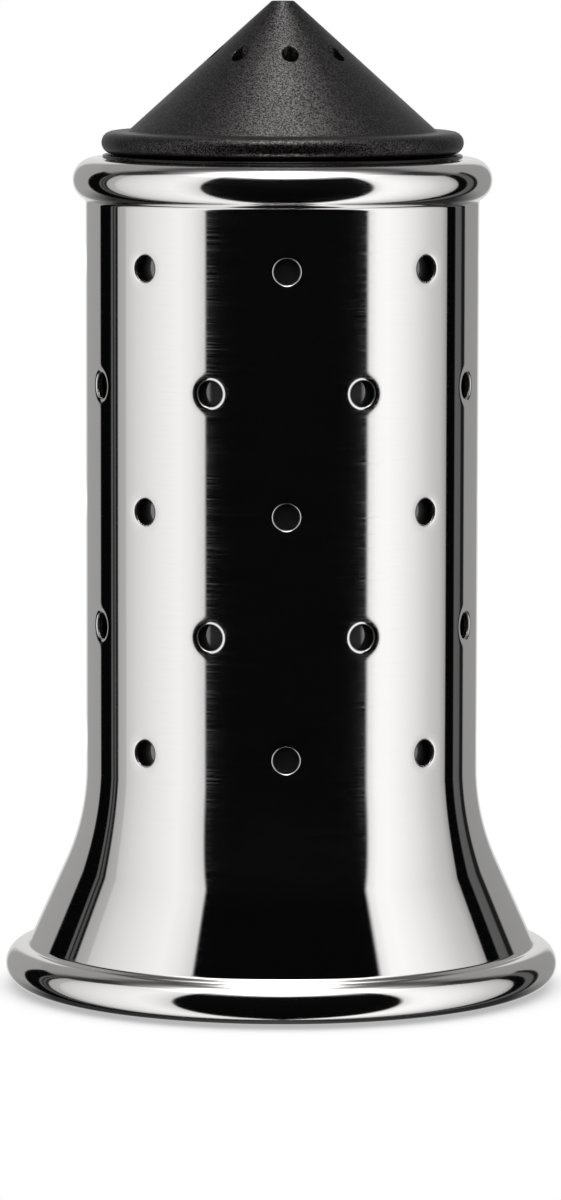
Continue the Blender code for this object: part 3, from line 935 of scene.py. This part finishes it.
class Nodes:
    """A short way to add and link shader nodes."""

    # The Mix node's two inputs and its output for each kind of value
    MIX_SOCKETS = {"FLOAT": (2, 3, 0), "VECTOR": (4, 5, 1), "RGBA": (6, 7, 2)}

    def __init__(self, tree):
        self.tree = tree

    def add(self, kind, inputs=None, **settings):
        node = self.tree.nodes.new("ShaderNode" + kind)
        for name, value in settings.items():
            setattr(node, name, value)
        for name, value in (inputs or {}).items():
            self.set(node.inputs[name], value)
        return node

    def set(self, socket, value):
        if isinstance(value, bpy.types.NodeSocket):
            self.tree.links.new(value, socket)
        else:
            socket.default_value = value

    def math(self, operation, *values):
        node = self.add("Math", operation=operation)
        for socket, value in zip(node.inputs, values):
            self.set(socket, value)
        return node.outputs[0]

    def times(self, first, second):
        return self.math("MULTIPLY", first, second)

    def spread(self, value, low, high, to_low=0.0, to_high=1.0):
        """Maps a value from one range to another, without going past either end."""
        node = self.add("MapRange", interpolation_type="SMOOTHSTEP")
        for socket, number in zip(node.inputs, (value, low, high, to_low, to_high)):
            self.set(socket, number)
        return node.outputs[0]

    def mix(self, kind, share, first, second, blend_type="MIX"):
        """One number, vector or colour fading into another."""
        node = self.add("Mix", data_type=kind, blend_type=blend_type)
        low, high, out = self.MIX_SOCKETS[kind]
        self.set(node.inputs[0], share)
        self.set(node.inputs[low], first)
        self.set(node.inputs[high], second)
        return node.outputs[out]

    def noise(self, vector, scale, detail=2.0, roughness=0.5):
        inputs = {"Vector": vector, "Scale": scale, "Detail": detail, "Roughness": roughness}
        return self.add("TexNoise", inputs).outputs["Fac"]

    def place(self):
        """The place on the piece."""
        return self.add("TexCoord").outputs["Object"]

    def parts(self, vector):
        return self.add("SeparateXYZ", {"Vector": vector}).outputs

    def from_axis(self, parts):
        """The distance from the piece's axis."""
        squares = [self.times(parts[axis], parts[axis]) for axis in ("X", "Y")]
        return self.math("SQRT", self.math("ADD", *squares))


class Finish(Nodes):
    """A Principled material with its nodes. Its plain colour and roughness show where nodes aren't read."""

    def __init__(self, name, colour, roughness, inputs=None):
        self.material = bpy.data.materials.new(name)
        self.material.use_nodes = True
        super().__init__(self.material.node_tree)
        self.shader = self.tree.nodes["Principled BSDF"]
        self.put("Base Color", (*colour, 1.0))
        self.put("Roughness", roughness)
        for socket, value in (inputs or {}).items():
            self.put(socket, value)

    def put(self, name, value):
        self.set(self.shader.inputs[name], value)

    def raise_grain(self, grain, strength, depth):
        """Lets a grain stand out of the surface."""
        bump = self.add("Bump", {"Height": grain, "Strength": strength, "Distance": depth})
        self.put("Normal", bump.outputs[0])


def polish_lines(nodes, parts):
    """A noise that is long round the axis and short along it."""
    angle = nodes.math("ARCTAN2", parts["Y"], parts["X"])
    round_axis = nodes.times(angle, LINES_ROUND)
    along = nodes.times(parts["Z"], LINES_ALONG)
    lines = nodes.add("CombineXYZ", {"X": round_axis, "Y": along})
    return nodes.noise(lines.outputs[0], scale=1.0, detail=3.0, roughness=0.6)


def bead_share(nodes, height):
    """Where the two beads are, beyond their creases."""
    tube_side, bead_side = BEAD_FADE
    top = nodes.spread(height, TOP_CREASE[0] - tube_side, TOP_CREASE[0] + bead_side)
    foot = nodes.spread(height, FOOT_CREASE[0] - bead_side, FOOT_CREASE[0] + tube_side, 1.0, 0.0)
    return nodes.math("MAXIMUM", top, foot)


def crease_share(nodes, height):
    """Where the two creases are."""
    creases = []
    for middle, below, above in (TOP_CREASE, FOOT_CREASE):
        rising = nodes.spread(height, middle - below, middle - CREASE_CORE)
        falling = nodes.spread(height, middle + CREASE_CORE, middle + above, 1.0, 0.0)
        creases.append(nodes.times(rising, falling))
    return nodes.math("MAXIMUM", *creases)


def steel_roughness(nodes, height, fine, straight, bead):
    """Fine lines on the tube, weaker on the flare and at a grazing look, blurred beads, duller creases."""
    on_tube = nodes.mix("FLOAT", straight, GRAZED_ROUGHNESS, TUBE_ROUGHNESS)
    lined = nodes.spread(height, *LINE_ZONE, FLARE_ROUGHNESS, on_tube)
    tube = nodes.spread(fine, *LINE_NOISE, SMOOTH_ROUGHNESS, lined)
    polished = nodes.mix("FLOAT", bead, tube, nodes.spread(fine, *BEAD_ROUGHNESS))
    creased = nodes.spread(fine, *CREASE_ROUGHNESS)
    return nodes.mix("FLOAT", crease_share(nodes, height), polished, creased)


def steel_haze(nodes, height, fine, straight):
    """A little haze on the tube, which the flare's hand polish takes off and a grazing look hides."""
    haze = nodes.times(nodes.spread(fine, *HAZE), nodes.spread(height, *HAZE_ZONE))
    return nodes.times(haze, straight)


def steel_tangent(nodes, bead):
    """Highlights are drawn out round the tube, and across the line of the beads."""
    along = nodes.add("Tangent", direction_type="RADIAL", axis="Z").outputs[0]
    facing = nodes.add("NewGeometry").outputs["Normal"]
    across = nodes.add("VectorMath", operation="CROSS_PRODUCT")
    nodes.set(across.inputs[0], facing)
    nodes.set(across.inputs[1], along)
    return nodes.mix("VECTOR", bead, along, across.outputs[0])


def polished_steel():
    """Mirror polish. The wheel leaves fine lines on the tube, blurs the beads and misses the creases."""
    uniform = {"Metallic": 1.0, "Anisotropic": 0.9, "Coat IOR": 4.0, "Coat Roughness": 0.19}
    nodes = Finish("polished_steel", STEEL_COLOUR, roughness=0.05, inputs=uniform)
    parts = nodes.parts(nodes.place())
    height = parts["Z"]
    fine = polish_lines(nodes, parts)
    facing = nodes.add("LayerWeight", {"Blend": 0.5}).outputs["Facing"]
    straight = nodes.spread(facing, *GRAZING, 1.0, 0.0)
    bead = bead_share(nodes, height)
    roughness = steel_roughness(nodes, height, fine, straight, bead)

    # The punched walls of the holes and the jacket's inside stay dull, and are painted dark as shade
    deep = nodes.spread(nodes.from_axis(parts), *HOLE_DULL_AND_SHADED, 1.0, 0.0)
    dull_shaded_walls = nodes.times(deep, nodes.spread(height, *HOLE_ZONE, 1.0, 0.0))
    tone_with_painted_shade = nodes.mix("RGBA", dull_shaded_walls, (*STEEL_COLOUR, 1), (*HOLE_SHADE_COLOUR, 1))

    nodes.put("Base Color", tone_with_painted_shade)
    nodes.put("Roughness", nodes.mix("FLOAT", dull_shaded_walls, roughness, WALL_ROUGHNESS))
    nodes.put("Coat Weight", steel_haze(nodes, height, fine, straight))
    nodes.put("Tangent", steel_tangent(nodes, bead))
    return nodes.material


def gloss_black_plastic():
    """Dark plastic with a hard gloss over a softer one, and a faint ripple."""
    uniform = {"Specular IOR Level": 0.8, "Coat Weight": 1.0, "Coat Roughness": 0.05, "Coat IOR": 2.5}
    nodes = Finish("gloss_black_plastic", CUP_COLOUR, roughness=0.12, inputs=uniform)
    ripple = nodes.noise(nodes.place(), RIPPLE_SCALE)
    nodes.raise_grain(ripple, strength=0.05, depth=0.05 * MM)
    nodes.put("Roughness", nodes.spread(ripple, *NOISE, 0.44, 0.54))
    return nodes.material


def grain_peaks_and_painted_shade(nodes, place):
    """The peaks of the cap's grain, with painted shade: where ambient occlusion finds the surface
    sheltered, as in the holes and creases, the share falls, so the surface gets the pits' dark colour and
    little gloss.
    """
    facets = nodes.add("TexVoronoi", {"Vector": place, "Scale": FACET_SCALE})
    tones = nodes.add("SeparateColor", {"Color": facets.outputs["Color"]})
    peak = nodes.spread(tones.outputs["Red"], *PEAK_SHARE)
    painted_shade = nodes.add("AmbientOcclusion", {"Distance": PAINTED_SHADE_REACH}, samples=8)
    return nodes.times(peak, nodes.spread(painted_shade.outputs["AO"], *NOISE))


def matt_black_plastic():
    """Dark plastic with a fine spark-eroded grain, whose pits hold less gloss than its peaks. Sheltered
    places, such as the holes and the crease under the cone, are painted dark and dull as shade.
    """
    nodes = Finish("matt_black_plastic", CAP_COLOUR, roughness=0.45, inputs={"Specular IOR Level": 0.85})
    place = nodes.place()
    grain = nodes.noise(place, GRAIN_SCALE, detail=1.0, roughness=0.4)
    nodes.raise_grain(grain, strength=1.0, depth=0.025 * MM)
    uneven = nodes.spread(nodes.noise(place, BLOTCH_SCALE), *NOISE, 0.0, 0.05)
    roughness = nodes.math("ADD", nodes.spread(grain, *NOISE, 0.41, 0.35), uneven)
    # peak is the grain times painted shade: sheltered places get the pits' dark colour and little gloss
    peak = grain_peaks_and_painted_shade(nodes, place)
    nodes.put("Roughness", roughness)
    nodes.put("Base Color", nodes.mix("RGBA", peak, PIT_AND_SHADE_COLOUR, PEAK_COLOUR))
    nodes.put("Specular Tint", nodes.mix("RGBA", peak, PIT_AND_SHADE_GLOSS, PEAK_GLOSS))
    return nodes.material


def base_black_plastic():
    """Dark plastic with a plain grain."""
    nodes = Finish("base_black_plastic", BASE_COLOUR, roughness=0.45)
    grain = nodes.noise(nodes.place(), BASE_GRAIN_SCALE)
    nodes.raise_grain(grain, strength=0.3, depth=0.05 * MM)
    nodes.put("Roughness", nodes.spread(grain, *NOISE, 0.36, 0.50))
    return nodes.material


def rubber(name, colour, roughness, scale):
    """Dull rubber with a fine grain."""
    nodes = Finish(name, colour, roughness, {"Specular IOR Level": 0.25})
    grain = nodes.noise(nodes.place(), scale)
    nodes.raise_grain(grain, strength=0.2, depth=0.04 * MM)
    ends = roughness - RUBBER_UNEVEN, roughness + RUBBER_UNEVEN
    nodes.put("Roughness", nodes.spread(grain, *NOISE, *ends))
    return nodes.material


def screw_steel():
    """Turned steel, with fine rings round the axis."""
    nodes = Finish("screw_steel", SCREW_COLOUR, roughness=0.3, inputs={"Metallic": 1.0})
    away = nodes.from_axis(nodes.parts(nodes.place()))
    lines = nodes.add("CombineXYZ", {"X": nodes.times(away, TURNING_SCALE)})
    turning = nodes.noise(lines.outputs[0], scale=1.0)
    nodes.put("Roughness", nodes.spread(turning, *NOISE, 0.22, 0.38))
    return nodes.material


def light_ramp(nodes, stops, half_turn):
    """Brightness along a half turn from the front, from stops in (degrees, level)."""
    ramp = nodes.add("ValToRGB")
    elements = ramp.color_ramp.elements
    elements.remove(elements[1])
    for count, (degrees, level) in enumerate(stops):
        stop = elements.new(degrees / 180) if count else elements[0]
        stop.position = degrees / 180
        stop.color = (level, level, level, 1)
    nodes.set(ramp.inputs["Fac"], half_turn)
    return ramp.outputs["Color"]


def studio_light(nodes, parts, rise):
    """A black front, a soft box and flags on each side, a backdrop, and what is over the soft boxes."""
    turn = nodes.math("ARCTAN2", parts["X"], nodes.times(parts["Y"], -1.0))
    away = nodes.math("ABSOLUTE", turn)
    half_turn = nodes.math("DIVIDE", away, pi)
    left = light_ramp(nodes, LEFT_SIDE, half_turn)
    right = light_ramp(nodes, RIGHT_SIDE, half_turn)
    sides = nodes.mix("RGBA", nodes.math("GREATER_THAN", turn, 0.0), left, right)
    behind = nodes.spread(half_turn, *BEHIND_TURN)
    low = nodes.spread(rise, *LOW_RISE, LOW_SHADE, 0.0)
    kept = nodes.math("SUBTRACT", 1.0, nodes.times(behind, low))
    sides = nodes.times(sides, kept)

    high = nodes.spread(rise, *HIGH_RISE, 1.0, HIGH_LEVEL)
    over = nodes.times(light_ramp(nodes, OVER_SIDES, half_turn), high)
    box_top = nodes.spread(away, *BOX_TOP_TURN, *BOX_TOP_RISE)
    under_top = nodes.math("SUBTRACT", rise, box_top)
    return nodes.mix("RGBA", nodes.spread(under_top, -BOX_TOP_EDGE, BOX_TOP_EDGE, 1.0, 0.0), over, sides)


def lamp_light(nodes, parts, rise):
    """The lamp over the shaker, brightest in its middle and with a longer reach to the front."""
    upward = nodes.math("MAXIMUM", parts["Z"], LEAST_RISE)
    across = nodes.math("DIVIDE", nodes.math("DIVIDE", parts["X"], upward), LAMP_ACROSS)
    forward = nodes.math("DIVIDE", nodes.times(parts["Y"], -1.0), upward)
    forward = nodes.math("SUBTRACT", forward, LAMP_FORWARD)
    reach = nodes.mix("FLOAT", nodes.math("GREATER_THAN", forward, 0.0), *LAMP_REACH)
    forward = nodes.math("DIVIDE", forward, reach)
    away = nodes.math("ADD", nodes.times(across, across), nodes.times(forward, forward))
    level = nodes.spread(rise, *LAMP_LOW, 0.0, LAMP_LEVEL)
    return nodes.math("DIVIDE", level, nodes.math("ADD", nodes.math("POWER", away, LAMP_FALLOFF), 1.0))


def make_studio():
    """White for the camera, soft light for matt surfaces, and a studio for what is mirrored."""
    world = bpy.data.worlds.new("studio")
    bpy.context.scene.world = world
    world.use_nodes = True
    world.node_tree.nodes.clear()
    nodes = Nodes(world.node_tree)
    parts = nodes.parts(nodes.add("TexCoord").outputs["Generated"])
    rise = nodes.math("ARCSINE", parts["Z"])
    studio = studio_light(nodes, parts, rise)
    mirrored = nodes.mix("RGBA", 1.0, studio, lamp_light(nodes, parts, rise), "ADD")
    path = nodes.add("LightPath").outputs
    mirroring = nodes.math("MAXIMUM", path["Is Glossy Ray"], path["Is Transmission Ray"])
    shown = nodes.mix("RGBA", mirroring, nodes.spread(parts["Z"], *FILL), mirrored)
    seen = nodes.mix("RGBA", path["Is Camera Ray"], shown, (1, 1, 1, 1))
    background = nodes.add("Background", {"Color": seen})
    output = nodes.add("OutputWorld")
    nodes.set(output.inputs["Surface"], background.outputs[0])


def make_lamp():
    """The soft box that hangs level over the shaker. Mirrors show the world's lamp in its place."""
    data = bpy.data.lights.new("top_box", "AREA")
    data.shape = "RECTANGLE"
    data.size = TOP_BOX_SIDE
    data.size_y = TOP_BOX_SIDE
    data.energy = pi * TOP_BOX_SIDE**2
    lamp = add_object("top_box", data)
    lamp.location = TOP_BOX_PLACE
    lamp.visible_camera = False
    lamp.visible_glossy = False


def floor_white():
    """White that darkens only where the shaker stands close over it."""
    made = bpy.data.materials.new("floor_white")
    made.use_nodes = True
    made.node_tree.nodes.clear()
    nodes = Nodes(made.node_tree)
    shade = nodes.add("AmbientOcclusion", {"Distance": FLOOR_SHADE_REACH}, samples=16)
    level = nodes.spread(shade.outputs["AO"], *FLOOR_SHADE)
    light = nodes.add("Emission", {"Color": level, "Strength": 1.0})
    output = nodes.add("OutputMaterial")
    nodes.set(output.inputs["Surface"], light.outputs[0])
    return made


def make_floor():
    mesh = bpy.data.meshes.new("floor")
    signs = ((-1, -1), (1, -1), (1, 1), (-1, 1))
    corners = [(x * FLOOR_HALF, y * FLOOR_HALF, 0) for x, y in signs]
    mesh.from_pydata(corners, [], [(0, 1, 2, 3)])
    mesh.materials.append(floor_white())
    floor = add_object("floor", mesh)
    floor.visible_glossy = False
    floor.visible_diffuse = False


def make_camera():
    data = bpy.data.cameras.new("camera")
    data.sensor_fit = "VERTICAL"
    data.sensor_height = SENSOR
    data.sensor_width = SENSOR
    data.lens = FOCAL_PIXELS * SENSOR / PHOTO_HEIGHT
    data.clip_start = CAMERA_CLIP
    camera = add_object("camera", data)
    place = Vector(CAMERA_PLACE)
    aim = Vector((place.x, 0, CAMERA_AIM))
    turn = (aim - place).to_track_quat("-Z", "Y").to_matrix() @ Matrix.Rotation(CAMERA_ROLL, 3, "Z")
    camera.matrix_world = Matrix.Translation(place) @ turn.to_4x4()
    bpy.context.scene.camera = camera


def main():
    make_steel_body(polished_steel())
    make_salt_container(gloss_black_plastic())
    make_sprinkler_cap(matt_black_plastic())
    make_cap_seal(rubber(*SEAL_RUBBER))
    make_base_cover(base_black_plastic())
    make_foot_ring(rubber(*FOOT_RUBBER))
    make_base_screw(screw_steel())
    make_studio()
    make_lamp()
    make_floor()
    make_camera()
    bpy.context.scene.view_settings.view_transform = "Standard"


main()
